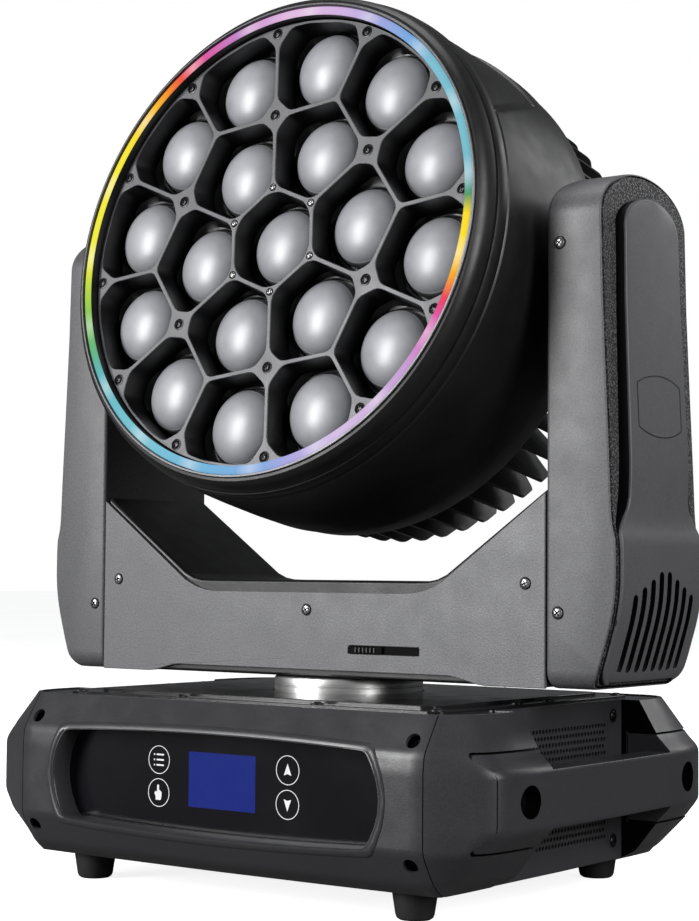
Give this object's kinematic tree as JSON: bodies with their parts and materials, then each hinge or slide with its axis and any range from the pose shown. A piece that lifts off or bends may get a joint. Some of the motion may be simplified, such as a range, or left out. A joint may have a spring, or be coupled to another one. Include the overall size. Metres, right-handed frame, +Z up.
{
  "type": "moving head light",
  "caption": "Stage wash light on a moving yoke: a tilting lens head with a glowing colour ring, on a wide panning base with a display and side handles.",
  "frame": {"origin": "on the floor under the base, where the pan axis meets it, at the middle of the base's width and depth", "axes": "+Z up along the pan axis, -Y towards the side with the display, +X to the right of someone facing that side"},
  "size_m": [0.5068, 0.3222, 0.6286],
  "materials": {
    "moulding": "satin moulded, dark grey",
    "plate": "satin fine-texture paint, dark grey",
    "black": "satin black",
    "rubber": "matt black",
    "steel": "turned and polished",
    "aluminium": "dark, as cast",
    "panel_glass": "gloss black",
    "lens": "frosted, translucent",
    "light_ring": "glowing diffuser",
    "circuit_board": "solder mask",
    "belt": "matt black"
  },
  "bodies": {
    "base": {"base_tray": "plate", "base_top_plate": "plate", "front_cover": "moulding", "rear_cover": "moulding", "left_side_cover": "moulding", "right_side_cover": "moulding", "left_handle": "moulding", "right_handle": "moulding", "foot_front_left": "rubber", "foot_front_right": "rubber", "foot_rear_right": "rubber", "foot_rear_left": "rubber", "display_glass": "panel_glass", "power_inlet": "black", "data_in": "black", "data_out": "black", "power_supply": "aluminium", "pan_motor": "black", "pan_belt": "belt"},
    "pan_pinion": {"pan_pinion": "aluminium"},
    "yoke": {"yoke_channel": "black", "yoke_front_cover": "plate", "yoke_rear_cover": "plate", "left_arm_shell": "moulding", "right_arm_shell": "moulding", "left_arm_cover": "moulding", "right_arm_cover": "moulding", "pan_hub": "steel", "tilt_motor": "black", "tilt_belt": "belt"},
    "tilt_pinion": {"tilt_pinion": "aluminium"},
    "pan_lock": {"pan_lock": "black"},
    "head": {"front_bezel": "black", "led_ring": "light_ring", "honeycomb": "plate", "head_shell": "black", "head_frame": "black", "heat_sink": "aluminium", "led_board": "circuit_board"},
    "fan": {"fan_rotor": "black"},
    "zoom_carriage": {"zoom_plate": "black", "lens_centre": "lens", "lens_inner_1": "lens", "lens_inner_2": "lens", "lens_inner_3": "lens", "lens_inner_4": "lens", "lens_inner_5": "lens", "lens_inner_6": "lens", "lens_outer_1": "lens", "lens_outer_2": "lens", "lens_outer_3": "lens", "lens_outer_4": "lens", "lens_outer_5": "lens", "lens_outer_6": "lens", "lens_outer_7": "lens", "lens_outer_8": "lens", "lens_outer_9": "lens", "lens_outer_10": "lens", "lens_outer_11": "lens", "lens_outer_12": "lens"}
  },
  "joints": [
    {"name": "pan", "type": "hinge", "parent": "base", "child": "yoke", "pos_m": [0, 0, 0.132], "axis": [0, 0, 1], "range_deg": [-270, 270]},
    {"name": "tilt", "type": "hinge", "parent": "yoke", "child": "head", "pos_m": [0, 0.008, 0.4326], "axis": [1, 0, 0], "range_deg": [-189.3, 30.7]},
    {"name": "zoom", "type": "slide", "parent": "head", "child": "zoom_carriage", "axis": [0, -0.9826, 0.1857], "range_m": [-0.018, 0]},
    {"name": "fan_spin", "type": "hinge", "parent": "head", "child": "fan", "pos_m": [0, 0.10724, 0.41385], "axis": [0, -0.9826, 0.1857], "continuous": true},
    {"name": "pan_pinion_spin", "type": "hinge", "parent": "base", "child": "pan_pinion", "pos_m": [-0.105, 0, 0.091], "axis": [0, 0, 1], "range_deg": [-1085, 1085]},
    {"name": "tilt_pinion_spin", "type": "hinge", "parent": "yoke", "child": "tilt_pinion", "pos_m": [-0.219, 0.008, 0.3], "axis": [1, 0, 0], "range_deg": [-570, 95]},
    {"name": "pan_lock_slide", "type": "slide", "parent": "yoke", "child": "pan_lock", "axis": [1, 0, 0], "range_m": [0, 0.03]}
  ],
  "couplings": [
    {"joint": "pan_pinion_spin", "follows": "pan", "ratio": 4},
    {"joint": "tilt_pinion_spin", "follows": "tilt", "ratio": 3}
  ]
}
